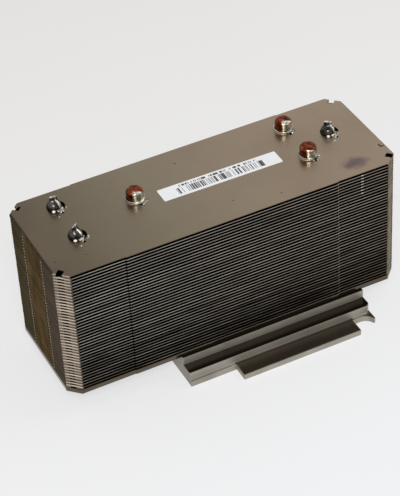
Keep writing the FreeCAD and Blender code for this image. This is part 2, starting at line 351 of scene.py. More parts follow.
def fin_tarnish_and_painted_light():
    material, add, shader, place = new_metal("fin_sheet_tarnish_and_painted_light")
    x, y, z = add("SeparateXYZ", [place]).outputs
    outwards = add("Math", [x, MIDDLE_X], operation="SUBTRACT")
    normal = add("NewGeometry").outputs["Normal"]
    up = add("SeparateXYZ", [normal]).outputs["Z"]
    outwards, sideways, up = (
        add("Math", [value], operation="ABSOLUTE") for value in (outwards, y, up))

    # Cut edges, and the lip and the fold in the corner cuts, each painted lighter at the left end and darker at
    # the right: a painted shade
    along = add("MapRange", {"Value": x, "From Min": LEFT, "From Max": RIGHT})
    edge, lip, painted_fold_highlight = (
        add("Mix", {0: along, 6: left, 7: right}, data_type="RGBA")
        for left, right in (("#b3afa5", "#9a8f81"), ("#7b7063", "#6d675c"), ("#c0b3a4", "#938c7f")))
    rubbing = add("Mapping", {"Vector": place, "Scale": (1 / (14 * MM), 1 / (20 * MM), 1 / (1.3 * MM))})
    rubbing = add("TexNoise", {"Vector": rubbing, "Scale": 1.0, "Detail": 2.0})
    dusty = add("MapRange", {"Value": rubbing, "From Min": 0.35, "From Max": 0.65, "To Min": 0.4, "To Max": 0.0})
    # Painted shade: the cut edges darken towards the bottom of the stack, on top of random dust
    painted_low_shade = add("MapRange", {"Value": z, "From Min": 48 * MM, "From Max": 14 * MM, "To Max": 0.5})
    dust_and_painted_shade = add("Math", [dusty, painted_low_shade], operation="ADD")
    edge = add("Mix", {0: dust_and_painted_shade, 6: edge, 7: "#3b342b"}, data_type="RGBA")

    # End flanges: bronze, with other colours behind and in front of the splits
    streaked = add("Mapping", {"Vector": place, "Scale": (1, 1 / (2.5 * MM), 1 / (16 * MM))})
    streaks = add("TexNoise", {"Vector": streaked, "Scale": 1.0, "Detail": 3.0})
    patch = add("MapRange", {"Value": streaks, "From Min": 0.36, "From Max": 0.64})
    end = add("Mix", {0: patch, 6: "#6a5b46", 7: "#4f4334"}, data_type="RGBA")
    for limit, side, tint in ((SPLIT_Y, "GREATER_THAN", "#514d42"), (-SPLIT_Y, "LESS_THAN", "#575048")):
        beyond = add("Math", [y, limit], operation=side)
        end = add("Mix", {0: beyond, 6: end, 7: tint}, data_type="RGBA")

    # Where is what
    across = add("Math", [outwards, sideways], operation="ADD")
    at_end, in_cut, beside, high = (
        add("Math", [value, limit], operation="GREATER_THAN") for value, limit in (
            (outwards, HALF_LENGTH - 0.8 * MM), (across, HALF_LENGTH + EDGE_Y - CORNER_CUT - 1.0 * MM),
            (sideways, EDGE_Y - CORNER_CUT), (z, STACK_TOP - NICKED_FINS * PITCH)))
    in_cut = add("Math", [in_cut, beside], operation="MULTIPLY")
    # The stubs at the splits are painted bright, a painted glint. The step near each end is painted as a light
    # line at the right and as a dark line of painted shade at the left. The nick is a knock mark.
    marks = []
    for value, middle, reach, share in (
            (sideways, SPLIT_Y, 0.3 * MM, at_end), (x, NICK_X, 0.6 * MM, high),
            (x, RIGHT - EDGE_STEP_INSET, STEP_REACH, 0.45), (x, LEFT + EDGE_STEP_INSET, STEP_REACH, 0.5)):
        mark = add("Math", [value, middle, reach], operation="COMPARE")
        marks.append(add("Math", [mark, share], operation="MULTIPLY"))
    at_split, nick, lit_step, shaded_step = marks
    nick_and_painted_step_highlight = add("Math", [nick, lit_step], operation="MAXIMUM")
    # Painted highlight: where the fold faces up it is painted lighter than the lip below it
    on_fold = add("MapRange", {"Value": up, "From Min": 0.05, "From Max": 0.4})
    fold = add("Mix", {0: on_fold, 6: lip, 7: painted_fold_highlight}, data_type="RGBA")
    # Painted shade: the flats are painted nearly black inside the gaps, and a lighter brown in the corner cuts,
    # where they stand in light
    flat = add("MapRange", {"Value": up, "From Min": 0.7, "From Max": 0.95})
    painted_flat_shade = add("Mix", {0: in_cut, 6: "#14110e", 7: "#7a6347"}, data_type="RGBA")
    base = edge
    for mask, over in (
            (at_end, end), (at_split, "#cabfac"), (shaded_step, "#16130f"), (nick_and_painted_step_highlight, "#e8dccb"),
            (in_cut, fold), (flat, painted_flat_shade)):
        base = add("Mix", {0: mask, 6: base, 7: over}, data_type="RGBA")

    tone = add("Attribute", attribute_name="tone").outputs["Fac"]
    tone = add("MapRange", {"Value": tone, "To Min": 0.74, "To Max": 1.14})
    toned = add("HueSaturation", {"Value": tone, "Color": base})
    mottle = add("TexNoise", {"Vector": place, "Scale": 1 / (6 * MM), "Detail": 4.0})
    rough = add("MapRange", {"Value": mottle, "From Min": 0.3, "From Max": 0.7, "To Min": 0.3, "To Max": 0.46})
    plug(shader, {"Base Color": toned, "Roughness": rough, "Specular Tint": "#aba59d"})
    return material


# %% [markdown]
# ### Milled and plated parts
#
# The block is milled and then nickel plated. The cutter leaves faint even lines along its travel. The faces
# that look up are nearly mirror-like and painted dark brown, a painted shade and a painted reflection of the
# dark fins above them. The upright faces are left out of that, are a little rougher, and go light because they
# reflect the table. Faces that look left are painted a little darker, a painted shade, and the clip tongues are
# duller where the clip presses. The bottom plate has the same finish, browner, and its long edges are painted
# darker from the left end of the block on, a painted shade.

# %% Milled and plated parts
LEDGE_LEVEL = 6.5 * MM  # faces above this are the ledge and the plate
CLIP_LAND_Y = 36.0 * MM  # the clip tongues lie farther out than this
CLIP_RUN = (6.2 * MM, 29.5 * MM)  # their middle and half their length
PLATE_LEVEL, PLATE_EDGE_Y = 11.3 * MM, 27.6 * MM
# where the painted shade on the plate's long edges begins
EDGE_SHADE_FROM, EDGE_SHADE_TO = -47 * MM, -45 * MM


def milled_metal(name, light, dark, up_face_shade_tint, roughness):
    material, add, shader, place = new_metal(name)
    x, y, z = add("SeparateXYZ", [place]).outputs
    aside = add("Math", [y], operation="ABSOLUTE")
    normal = add("NewGeometry").outputs["Normal"]
    facing, _, up = add("SeparateXYZ", [normal]).outputs
    clouds = add("TexNoise", {"Vector": place, "Scale": 1 / (14 * MM), "Detail": 3.0})
    cloudy = add("MapRange", {"Value": clouds, "From Min": 0.35, "From Max": 0.7})
    pits = add("TexVoronoi", {"Vector": place, "Scale": 1 / (5 * MM)}).outputs["Distance"]
    pit = add("MapRange", {"Value": pits, "From Min": 0.07, "From Max": 0.04, "To Max": 0.7})

    ledge, clip_land, above, long_edge = (
        add("Math", [value, limit], operation="GREATER_THAN") for value, limit in (
            (z, LEDGE_LEVEL), (aside, CLIP_LAND_Y), (z, PLATE_LEVEL), (aside, PLATE_EDGE_Y)))
    wide_flat = add("Math", [x, CLIP_RUN[0], CLIP_RUN[1]], operation="COMPARE")
    for other in (ledge, clip_land, 0.55):
        wide_flat = add("Math", [wide_flat, other], operation="MAXIMUM")
    # Painted shade and painted reflection: faces that look up get the dark tint, fully on the ledge, the plate,
    # the tongues and the run in front, and a little over half elsewhere
    painted_shade_on_up_faces = add("MapRange", {"Value": up, "From Min": 0.1, "From Max": 0.7})
    painted_shade_on_up_faces = add("Math", [painted_shade_on_up_faces, wide_flat], operation="MULTIPLY")
    land = add("Math", [painted_shade_on_up_faces, clip_land], operation="MULTIPLY")
    # Painted shade: the plate's long edges are darker from the left end of the block on
    painted_edge_shade = add("MapRange", {
        "Value": x, "From Min": EDGE_SHADE_FROM, "From Max": EDGE_SHADE_TO}, interpolation_type="SMOOTHSTEP")
    for other in (above, long_edge):
        painted_edge_shade = add("Math", [painted_edge_shade, other], operation="MULTIPLY")
    # Painted shade: faces that look left are painted darker
    painted_shade_facing_left = add("MapRange", {"Value": facing, "From Min": -0.6, "From Max": -0.95, "To Max": 0.3})
    base = add("Mix", {0: cloudy, 6: light, 7: dark}, data_type="RGBA")
    for mask, tint in (
            (pit, "#3a332c"), (painted_shade_on_up_faces, up_face_shade_tint), (painted_edge_shade, "#5d554a"), (painted_shade_facing_left, "#625a51"), (land, "#5a5147")):
        base = add("Mix", {0: mask, 6: base, 7: tint}, data_type="RGBA")

    rough = add("MapRange", {"Value": painted_shade_on_up_faces, "To Min": roughness, "To Max": 0.22})
    rough = add("Mix", {0: land, 2: rough, 3: 0.42})
    travel = add("Mapping", {"Vector": place, "Scale": (30, 1 / (0.8 * MM), 1 / (0.8 * MM))})
    lines = add("TexNoise", {"Vector": travel, "Scale": 1.0, "Detail": 1.0})
    bump = add("Bump", {"Height": lines, "Strength": 0.25, "Distance": 0.01 * MM})
    plug(shader, {"Base Color": base, "Roughness": rough, "Normal": bump})
    return material


# %% [markdown]
# ### Copper and solder
#
# Heat pipes are copper. The torch that closed them left the caps dark red and mottled, and solder has crept up
# one side of each pipe end. Where it went is known to the mesh as an attribute called `solder`, so that one
# material can be copper on one side and soft bright metal on the other, with a ragged border between them. On a
# nipple that attribute also lays a painted highlight along a ridge and the tip. A mesh without that attribute
# shows the bare metal alone, which is how drops of plain solder get their finish.

# %% Copper that solder has crept over
def soldered_metal(name, bare_light, bare_dark, bare_roughness):
    material, add, shader, place = new_metal(name)
    mottle = add("TexNoise", {"Vector": place, "Scale": 1 / (2.4 * MM), "Detail": 4.0})
    patch = add("MapRange", {"Value": mottle, "From Min": 0.36, "From Max": 0.62})
    bare = add("Mix", {0: patch, 6: bare_light, 7: bare_dark}, data_type="RGBA")
    ripple = add("TexNoise", {"Vector": place, "Scale": 1 / (1.2 * MM), "Detail": 2.0})
    dull = add("MapRange", {"Value": ripple, "From Min": 0.4, "From Max": 0.62})
    solder = add("Mix", {0: dull, 6: "#d6d0c2", 7: "#868a7f"}, data_type="RGBA")
    crept = add("Attribute", attribute_name="solder").outputs["Fac"]
    ragged = add("Math", [mottle, 0.5], operation="SUBTRACT")
    ragged = add("Math", [ragged, crept], operation="ADD")
    covered = add("MapRange", {"Value": ragged, "From Min": 0.44, "From Max": 0.56})
    base = add("Mix", {0: covered, 6: bare, 7: solder}, data_type="RGBA")
    rough = add("MapRange", {"Value": covered, "To Min": bare_roughness, "To Max": 0.14})
    bump = add("Bump", {"Height": ripple, "Strength": 0.2, "Distance": 0.12 * MM})
    plug(shader, {"Base Color": base, "Roughness": rough, "Normal": bump})
    return material


# %% [markdown]
# ### Paper label
#
# A stock label is coated paper: nearly matt, with a weak gloss. What is printed here is plain: a band of upright
# bars of uneven width and a row of short marks, which stand for a stock code without being one. Both come from
# a random value that changes every few tenths of a millimetre along the label.

# %% Paper label
LABEL_CENTRE = ((LABEL_LOW + LABEL_HIGH) / 2).xy
LABEL_TURN = math.radians(-0.65)
PRINTED_ROWS = (  # step along, seed, share left blank, half length, middle and half height
    (0.27 * MM, 3.0, 0.50, 20.5 * MM, -0.7 * MM, 2.1 * MM),
    (0.40 * MM, 11.0, 0.45, 18.5 * MM, 2.6 * MM, 0.65 * MM),
)


def printed_label():
    material, add, shader, coords = new_metal("coated_paper_label")
    own = add("Mapping", {
        "Vector": coords, "Location": (*LABEL_CENTRE, 0), "Rotation": (0, 0, LABEL_TURN)}, vector_type="TEXTURE")
    x, y, _ = add("SeparateXYZ", [own]).outputs

    printed = []
    for width, seed, share, half_run, middle, half_height in PRINTED_ROWS:
        step = add("Math", [x, width], operation="DIVIDE")
        step = add("Math", [step], operation="FLOOR")
        step = add("Math", [step, seed], operation="ADD")
        value = add("TexWhiteNoise", {"W": step}, noise_dimensions="1D").outputs["Value"]
        ink = add("Math", [value, share], operation="GREATER_THAN")
        for place, centre, reach in ((x, 0.0, half_run), (y, middle, half_height)):
            within = add("Math", [place, centre, reach], operation="COMPARE")
            ink = add("Math", [ink, within], operation="MULTIPLY")
        printed.append(ink)
    ink = add("Math", [printed[0], printed[1]], operation="MAXIMUM")
    fibre = add("TexNoise", {"Vector": coords, "Scale": 1 / (0.6 * MM), "Detail": 2.0})
    paper = add("Mix", {0: fibre, 6: "#fcfdfe", 7: "#f1f3f5"}, data_type="RGBA")
    base = add("Mix", {0: ink, 6: paper, 7: "#4a4745"}, data_type="RGBA")
    plug(shader, {"Base Color": base, "Metallic": 0.0, "Roughness": 0.55})
    return material


# %% Make the finishes
SHEET_METAL = satin_sheet()
FIN_METAL = fin_tarnish_and_painted_light()
# The third colour of each is the painted shade of the faces that look up
PLATE_METAL = milled_metal("dulled_nickel_plated_plate", "#6c6256", "#5b5147", "#453d33", 0.12)
BLOCK_METAL = milled_metal("milled_nickel_plated_block", "#b2ada2", "#9f998f", "#423d35", 0.56)
COPPER = soldered_metal("torched_copper", "#8a4324", "#38120a", 0.22)
TINNED = soldered_metal("smoked_tinned_copper", "#55524e", "#232220", 0.24)
SOLDER = soldered_metal("frozen_solder", "#c2beb2", "#5f5f58", 0.18)
# Near white: the beads carry a painted highlight
SOLDER_PAINTED_HIGHLIGHT = soldered_metal("solder_painted_highlight", "#f2eee4", "#d9d4c7", 0.28)
PAPER = printed_label()
print(len(bpy.data.materials), "materials")

# %% [markdown]
# ## One fin
#
# A fin is a sheet 0.4 mm thick whose two ends are folded down by the height of one gap, so that the fins space
# themselves. A fold has a radius, and that radius is what catches the light, so a flat box with a thin lip would
# look wrong close up. The folded end is made by carrying a small cross-section, first the fold and then the lip
# below it, along the end and round the two corner cuts. The window in each cut and the two splits of the end
# are simply places where the lip is left out.

# %% Cross-sections of the fold and of the lip below it, as (inwards, up)
DROP = FIN_HIGH.z - FIN_LOW.z
FOLD_ANGLES = [math.radians(a) for a in (0, 30, 60, 90)]


def fold_arc(radius):
    return [(FOLD_RADIUS - radius * math.sin(a), radius * math.cos(a) - FOLD_RADIUS) for a in FOLD_ANGLES]


FOLD_SECTION = fold_arc(FOLD_RADIUS) + fold_arc(FOLD_RADIUS - SHEET)[::-1]
TRIMMED = 0.3 * MM  # what was cut off the lip beside the windows


def lip_section(drop):
    return [(0, -FOLD_RADIUS), (0, -drop), (SHEET, -drop), (SHEET, -FOLD_RADIUS)]


# %% Where the lip runs round the left end
def lip_runs():
    """Runs of (x, y, inward vector) along the left end, front to rear, split where the lip is missing."""
    root = math.sqrt(0.5)
    turn = EDGE_Y - CORNER_CUT
    low, high = SPLIT_Y - SPLIT_WIDTH / 2, SPLIT_Y + SPLIT_WIDTH / 2
    window = [(LEFT + along * root, turn + along * root, (root, -root)) for along in WINDOW]
    corner = (LEFT, turn, (1, 1 - math.sqrt(2)))
    last = (LEFT + CORNER_CUT, EDGE_Y, (math.sqrt(2), 0))
    half = [[(LEFT, high, (1, 0)), corner, window[0]], [window[1], last]]
    front = [[(x, -y, (dx, -dy)) for x, y, (dx, dy) in run[::-1]] for run in half[::-1]]
    return front + [[(LEFT, -low, (1, 0)), (LEFT, low, (1, 0))]] + half


def carried(stops, section):
    """Closed shell of a section carried past some stops."""
    vertices = [(x + dx * d, y + dy * d, z) for x, y, (dx, dy) in stops for d, z in section]
    return vertices, tube_faces(len(section), len(vertices))


# %% The flat of the sheet, with its pipe holes
def sheet_outline():
    """Flat part of the sheet: long edges with their small step, and ends that stop where the folds begin."""
    quarter = [
        (HALF_LENGTH - FOLD_RADIUS, EDGE_Y - CORNER_CUT - FOLD_RADIUS * (math.sqrt(2) - 1)),
        (HALF_LENGTH - CORNER_CUT - FOLD_RADIUS * math.sqrt(2), EDGE_Y),
        (HALF_LENGTH - EDGE_STEP_INSET, EDGE_Y),
        (HALF_LENGTH - EDGE_STEP_INSET, EDGE_Y + EDGE_STEP),
    ]
    half = quarter + [(-x, y) for x, y in quarter[::-1]]
    return [(MIDDLE_X + x, y) for x, y in half + [(-x, -y) for x, y in half]]


def flat_sheet():
    """Closed shell of the flat sheet, pierced by a round hole for each pipe leg."""
    legs = [leg.xy for legs in PIPES.values() for leg in legs]
    loops = [sheet_outline()]
    loops += [[leg + around(math.radians(a), HOLE_RADIUS).xy for a in range(0, 360, 15)] for leg in legs]
    points, rims = [], []
    for loop in loops:
        first = len(points)
        points += [Vector(p) for p in loop]
        rims += [(first + i, first + (i + 1) % len(loop)) for i in range(len(loop))]
    flat, _, triangles, *_ = delaunay_2d_cdt(points, rims, [], 1, 1e-8)
    kept = []
    for triangle in triangles:
        middle = sum((flat[i] for i in triangle), Vector((0, 0))) / 3
        if all((middle - leg).length > HOLE_RADIUS * 0.98 for leg in legs):
            kept.append(tuple(triangle))
    count = len(flat)
    vertices = [(p.x, p.y, 0) for p in flat] + [(p.x, p.y, -SHEET) for p in flat]
    faces = kept + [tuple(i + count for i in t) for t in kept]
    faces += [(a, b, b + count, a + count) for a, b in rims]
    return vertices, faces


# %% Put one fin together
def fin_shells():
    runs = lip_runs()
    ends = [carried(run, lip_section(DROP - TRIMMED if run in (runs[0], runs[-1]) else DROP)) for run in runs]
    ends.append(carried([stop for run in runs for stop in run], FOLD_SECTION))
    mirrored = [([(2 * MIDDLE_X - x, y, z) for x, y, z in vertices], faces) for vertices, faces in ends]
    return [flat_sheet()] + ends + mirrored


BLANK = shell_object("fin_blank", fin_shells())
print("one fin:", len(BLANK.data.polygons), "faces")

# %% [markdown]
# ## The stack of fins
#
# Thirty-nine equal fins above one another are a case for instancing: one fin, a line of points, and a copy on
# each point. Real fins never line up perfectly, and a perfectly regular stack looks like a drawing, so each
# copy is moved by a few hundredths of a millimetre and is given its own tone. The seed is fixed, so the stack
# comes out the same each time.

# %% The node tree of the stack
def stack_tree():
    tree, add, given = geometry_tree("stack_of_fins", {
        "Fin": "Object", "Count": "Int", "First": "Vector", "Pitch": "Float", "Play": "Vector", "Fit": "Vector",
        "Seed": "Int", "Metal": "Material"})
    step = add("ShaderNodeCombineXYZ", {"Z": given["Pitch"]})
    line = add("MeshLine", {
        "Count": given["Count"], "Start Location": given["First"], "Offset": step})
    fin = add("ObjectInfo", {"Object": given["Fin"]}).outputs["Geometry"]
    copies = add("InstanceOnPoints", {
        "Points": strewn(add, given, line, "Play"), "Instance": fin, "Scale": given["Fit"]})
    tone = add("FunctionNodeRandomValue", {"Seed": given["Seed"]})
    toned = add("StoreNamedAttribute", {
        "Geometry": copies, "Name": "tone", "Value": tone}, domain="INSTANCE")
    end_tree(add, given, toned)
    return tree


# %% Grow the stack
PLAY = 0.05 * MM
stack = new_object("fin_stack", bpy.data.meshes.new("seed"))
stack.data = grow(stack, stack_tree(), {
    "Fin": BLANK, "Count": len(INNER_FINS), "First": (0, 0, FIN_HIGH.z), "Pitch": PITCH,
    "Play": (PLAY, PLAY, PLAY), "Fit": (1 - 2 * PLAY / HALF_LENGTH, 1, 1), "Seed": 7, "Metal": FIN_METAL})
bpy.data.objects.remove(BLANK)
finish_piece(stack, FIN_METAL, "fin", INNER_FINS)

# %% [markdown]
# ## Top fin, plate and block
#
# These three have the right shape already, but CAD edges are perfectly sharp, and no real edge is. An edge that
# is rounded by even a quarter of a millimetre shows as a thin bright line. So each is copied, its loose
# triangles are merged into whole faces, and its edges are bevelled: the top fin's folds with the radius of the
# fold, and the edges of the plate and of the block with what a deburring tool leaves. The Weighted Normal
# modifier then lets the large faces decide the shading, so that only the bevels look rounded.

# %% Copy a CAD solid as a clean mesh, with some of its edges bevelled
def bevelled_copy(name, node, choose, radius, segments):
    edit = bmesh.new()
    edit.from_mesh(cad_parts[node].data)
    bmesh.ops.remove_doubles(edit, verts=edit.verts, dist=1e-6)
    bmesh.ops.dissolve_limit(
        edit, angle_limit=math.radians(0.5), verts=edit.verts, edges=edit.edges, use_dissolve_boundaries=False)
    edges = [edge for edge in edit.edges if len(edge.link_faces) == 2 and choose(edge)]
    bmesh.ops.bevel(edit, geom=edges, offset=radius, segments=segments, profile=0.5, affect="EDGES")
    print(name, "has", len(edges), "rounded edges")
    return edited_object(name, edit)


def is_fold(edge):
    """True along the outer edge of the top fin's folded ends."""
    for vertex in edge.verts:
        out = abs(vertex.co.x - MIDDLE_X)
        reach = max(out - HALF_LENGTH, (out + abs(vertex.co.y) - HALF_LENGTH - EDGE_Y + CORNER_CUT) / 2)
        if vertex.co.z < STACK_TOP - 1e-5 or reach < -1e-5:
            return False
    return True


def is_outer_corner(edge):
    return edge.is_convex and edge.calc_face_angle(0) > math.radians(40)


# %% Make the three
for name, node, choose, radius, segments, metal, slot in (
        ("top_sheet", "top_fin", is_fold, FOLD_RADIUS, 4, SHEET_METAL, "top"),
        ("end_plate", "bottom_plate", is_outer_corner, 0.25 * MM, 2, PLATE_METAL, "plate"),
        ("milled_base", "base_block", is_outer_corner, 0.3 * MM, 3, BLOCK_METAL, "base")):
    piece = bevelled_copy(name, node, choose, radius, segments)
    finish_piece(piece, metal, slot, [node])
    piece.modifiers.new("flat faces", "WEIGHTED_NORMAL").keep_sharp = True

# %% [markdown]
# The top fin's flanges are split in two places at each end, but its fold goes on over the splits. A short
# length of the same fold section closes each. The flanges themselves have the finish of the inner fins, so the
# faces of the top fin that look along the stack get that as a second material.

# %% The fold over the splits, and the finish of the flanges
FLAT_REACH = 1.3 * MM  # how far a closing length goes in over the flat
folds = []
for side, end in ((1, LEFT), (-1, RIGHT)):
    for middle in (-SPLIT_Y, SPLIT_Y):
        ends = [(end, middle + reach * (SPLIT_WIDTH / 2 + 0.05 * MM), (side, 0)) for reach in (-1, 1)]
        vertices, faces = carried(ends, [(FLAT_REACH, 0)] + FOLD_SECTION + [(FLAT_REACH, -SHEET)])
        folds.append(([(x, y, z + STACK_TOP - 0.01 * MM) for x, y, z in vertices], faces))
finish_piece(shell_object("split_folds", folds), SHEET_METAL, "top")
top_sheet = bpy.data.objects["top_sheet"].data
top_sheet.materials.append(FIN_METAL)
for polygon in top_sheet.polygons:
    polygon.material_index = 1 if abs(polygon.normal.x) > 0.35 else 0

# %% [markdown]
# ## The heat pipes
#
# A pipe is a path with a round section. The path of each is four points, with straight runs between them, and
# the Fillet Curve node rounds its two corners by the radius of the bending tool. Nothing else is needed.

# %% The node tree of a bent pipe
def pipe_tree():
    tree, add, given = geometry_tree("bent_pipe", {
        "Path": "Geometry", "Bend radius": "Float", "Pipe radius": "Float", "Metal": "Material"})
    path = add("MeshToCurve", {"Mesh": given["Path"]})
    bent = add("FilletCurve", {"Curve": path, "Count": 12, "Radius": given["Bend radius"]}, mode="POLY")
    section = add("CurvePrimitiveCircle", {"Resolution": 32, "Radius": given["Pipe radius"]})
    tube = add("CurveToMesh", {"Curve": bent, "Profile Curve": section, "Fill Caps": True})
    end_tree(add, given, tube)
    return tree


# %% Bend the three pipes
BENT_PIPE = pipe_tree()
for pipe, (nipple, cap) in PIPES.items():
    worked = STACK_TOP - END_DEPTH
    path = bpy.data.meshes.new("path")
    corners = [(*nipple.xy, worked), (*nipple.xy, PIPE_LEVEL), (*cap.xy, PIPE_LEVEL), (*cap.xy, worked)]
    path.from_pydata(corners, [(0, 1), (1, 2), (2, 3)], [])
    tube = new_object(f"pipe_{pipe}", path)
    tube.data = grow(tube, BENT_PIPE, {"Bend radius": BEND_RADIUS, "Pipe radius": PIPE_RADIUS, "Metal": COPPER})
    finish_piece(tube, COPPER, "pipe", [f"heat_pipe_{pipe}"])

# %% [markdown]
# ## Caps and nipples
#
# Both ends of a pipe are shapes turned about an upright axis, until a tool has squeezed them. They are built
# ring by ring: each ring has a height, a width across and a width through, so that the same few lines make the
# round cap with its soft rim and the nipple that goes from a round neck to a flat crimped blade. Slow noise
# keeps either from looking turned on a lathe. Each vertex also notes how far the solder has crept over it: up
# one side of a cap, to a level that differs from cap to cap, and along a ridge and the tip of a nipple, where
# the solder colour is partly solder and partly a painted highlight.

# %% Rings into a closed piece
SIDES = 48


def ringed(name, centre, rings, crept, seed, turn=0.0, lean=Vector()):
    """Piece made of (height, half across, half through) rings in mm; crept gives the solder at a point."""
    vertices, solder = [], []
    spin = Matrix.Rotation(turn, 3, "Z")
    for ring in rings:
        height, across, through = (size * MM for size in ring)
        for side in range(SIDES):
            out = around(math.tau * side / SIDES)
            wander = noise.noise(out + Vector((0, 0, height / (2 * MM) + seed)))
            swell = 1 + (0.02 * wander if height > 0 else 0)
            point = spin @ Vector((across * swell * out.x, through * swell * out.y, height))
            cover = max(0.0, min(1.0, crept(point)))
            push = 1 + (0.12 * MM * cover / max(across, through) if height > 0 else 0)
            tipped = lean * max(0.0, min(1.0, 1 + height / MM))
            vertices.append(centre + tipped + Vector((point.x * push, point.y * push, height)))
            solder.append(cover)
    piece = shell_object(name, [(vertices, tube_faces(SIDES, len(vertices)))])
    piece.data.attributes.new("solder", "FLOAT", "POINT").data.foreach_set("value", solder)
    return piece


def turned_away(angle, towards):
    """How many degrees an angle lies from a direction, at most 180."""
    return abs((math.degrees(angle - towards) + 180) % 360 - 180)


# %% Caps
CAP_RINGS = [(-3.2, 4.0), (-0.6, 3.9), (0.2, 3.76), (0.9, 3.72), (1.9, 3.72), (3.0, 3.72), (3.9, 3.72),
             (4.28, 3.69), (4.6, 3.58), (4.86, 3.39), (5.08, 3.11), (5.23, 2.74), (5.31, 2.2), (5.33, 1.5),
             (5.33, 0.9), (5.33, 0.3)]
SOLDER_HEIGHTS = {"front": 1.7, "middle": 3.2, "rear": 3.8}  # how far up it crept, in mm
SOLDER_ANGLE = math.radians(-116)  # the side that it crept up
SOLDER_SIDE, SOLDER_ACROSS = around(SOLDER_ANGLE), around(SOLDER_ANGLE + math.pi / 2)
for number, (pipe, (_, centre)) in enumerate(PIPES.items()):
    def cap_solder(point):
        height = SOLDER_HEIGHTS[pipe] + (0.95 * point.dot(SOLDER_SIDE) - point.z) / MM
        ragged = 0.3 * noise.noise(Vector((point.x / (1.5 * MM), point.z / (1.5 * MM), number * 5)))
        return 0.5 + (min(height, 0.7 + point.dot(SOLDER_ACROSS) / MM) + ragged) / 0.6

    rings = [(height, radius, radius) for height, radius in CAP_RINGS]
    cap = ringed(f"cap_{pipe}", centre, rings, cap_solder, number * 3.7)
    finish_piece(cap, COPPER, "pipe", smooth_angle=60)

# %% Nipples
NIPPLE_RINGS = [(-3.2, 4.0, 4.0), (-3.0, 3.4, 3.4), (-0.4, 3.2, 3.2), (0.5, 3.2, 3.2), (1.1, 3.15, 3.12),
                (1.7, 3.02, 2.95), (2.2, 2.85, 2.7), (2.7, 2.55, 2.25), (3.1, 2.25, 1.75), (3.45, 2.0, 1.25),
                (3.8, 1.8, 0.85), (4.2, 1.7, 0.62), (5.0, 1.66, 0.52), (5.6, 1.6, 0.48), (5.78, 1.4, 0.36)]
NIPPLE_SHIFT = Vector((-0.75 * MM, -0.1 * MM, 0))  # the pipe stands to one side of its hole
BLADE_TURNS = {"front": 35, "middle": -30, "rear": -8}
RIDGE_ANGLE = math.radians(-50)


# On a nipple the solder colour along the ridge and at the tip is partly solder and partly a painted highlight
def nipple_solder_and_highlight(point):
    ridge = 1.1 - turned_away(math.atan2(point.y, point.x), RIDGE_ANGLE) / 24
    tip = 0.5 * (point.z / MM - 4.4)
    return max(ridge, tip)


for number, (pipe, (centre, _)) in enumerate(PIPES.items()):
    turn = math.radians(BLADE_TURNS[pipe])
    nipple = ringed(
        f"nipple_{pipe}", centre, NIPPLE_RINGS, nipple_solder_and_highlight, 20 + number * 3.1, turn, NIPPLE_SHIFT)
    finish_piece(nipple, TINNED, "pipe", smooth_angle=50)

# %% [markdown]
# ## Collars and solder
#
# Punching a pipe hole leaves a thin collar standing round it, which holds the pipe and takes the solder. Solder
# wets the rim of the collar and freezes there as a bright thread, thicker at the relief slot, where some has
# run down. The nipples are thinner than their holes, so there it only bridges a part of the gap. All of these
# are a small section carried round the pipe, with a size that may change on the way.

# %% Carry a section round a pipe
def round_pipe(centre, start, stop, section_at):
    """Closed shell of a section, given as (out, up) in mm, carried between two angles in degrees.

    Unless it goes all the way round, the section is told to taper at both ends, by a size close to 0 there.
    """
    steps, whole = 72, stop - start == 360
    vertices = []
    for step in range(steps if whole else steps + 1):
        angle = math.radians(start + (stop - start) * step / steps)
        section = section_at(angle, 1.0 if whole else min(1.0, 6 * step / steps, 6 - 6 * step / steps) + 0.02)
        vertices += [centre + around(angle, out * MM, up * MM) for out, up in section]
    return vertices, tube_faces(len(section), len(vertices), whole)


# %% Collars
COLLAR_HEIGHT = 0.95  # in mm
COLLAR_SECTION = [(4.02, -0.2), (4.7, -0.02), (4.45, 0.08), (4.32, 0.3), (4.26, 0.9), (4.22, COLLAR_HEIGHT),
                  (4.02, COLLAR_HEIGHT)]
shells = [round_pipe(cap, -66, 266, lambda angle, size: COLLAR_SECTION) for _, cap in PIPES.values()]
finish_piece(shell_object("hole_collars", shells), SHEET_METAL, "top", smooth_angle=60)


# %% Solder on the collars and beside the nipples
def thread(seed):
    """Section of the solder on a collar's rim, lower at the relief slot and wide where the cap's patch ends."""
    def section_at(angle, size):
        run = math.exp(-(turned_away(angle, RELIEF_ANGLE) / 30)**2)
        fill = math.exp(-(turned_away(angle, SOLDER_ANGLE + math.pi / 4) / 45)**4)
        wander = noise.noise(around(angle, 2.0, seed))
        thick = 0.07 + 0.08 * fill + 0.04 * wander
        low = COLLAR_HEIGHT - thick - 0.8 * run
        inner = 3.98 - 0.38 * fill
        return [(inner, low), (4.26 + 0.3 * thick + 0.45 * run, low), (4.3 + 0.3 * run, COLLAR_HEIGHT),
                (4.2, COLLAR_HEIGHT + thick), (inner, COLLAR_HEIGHT + 1.6 * thick)]
    return section_at


def bridge(seed):
    """Section of the solder that bridges a part of the gap round a nipple."""
    def section_at(angle, size):
        wander = noise.noise(around(angle, 3.0, seed))
        width, height = (1.0 + 0.5 * wander) * size, (0.3 + 0.3 * wander) * size
        inner = 2.95
        return [(inner, -0.5), (inner + width, -0.3), (inner + width, 0.2 * height),
                (inner + 0.6 * width, 0.6 * height), (inner, height + 0.3)]
    return section_at


shells = []
for number, (nipple, cap) in enumerate(PIPES.values()):
    shells.append(round_pipe(cap, 0, 360, thread(number * 2.3)))
    shells.append(round_pipe(nipple + NIPPLE_SHIFT, -100, -15, bridge(9 + number * 2.3)))
finish_piece(shell_object("solder_joints", shells), SOLDER, "pipe", smooth_angle=60)

